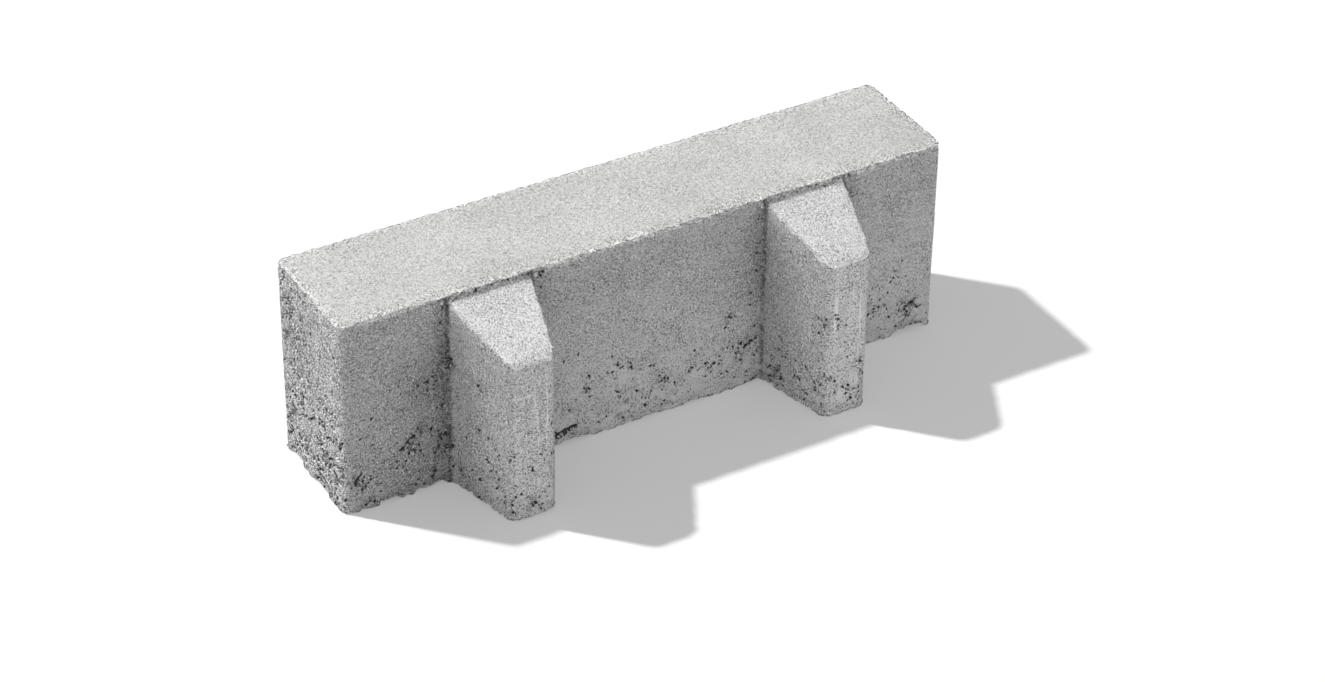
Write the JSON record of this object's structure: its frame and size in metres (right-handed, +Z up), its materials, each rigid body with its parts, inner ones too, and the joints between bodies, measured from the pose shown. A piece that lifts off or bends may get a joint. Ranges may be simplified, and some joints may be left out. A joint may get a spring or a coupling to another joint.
{
  "type": "permeable concrete paver",
  "caption": "Long narrow concrete paver with tapered, slope-topped spacer lugs on one long side that hold a wide drainage joint open.",
  "frame": {"origin": "middle of the laying module, block and joint together, on the bedding face", "axes": "+X along the block to the right end, -Y the way the spacer lugs point, +Z up to the walking face"},
  "size_m": [0.246, 0.082, 0.08],
  "materials": {
    "concrete": "rough grey pressed concrete"
  },
  "bodies": {
    "root": {"paver": "concrete"}
  },
  "joints": []
}
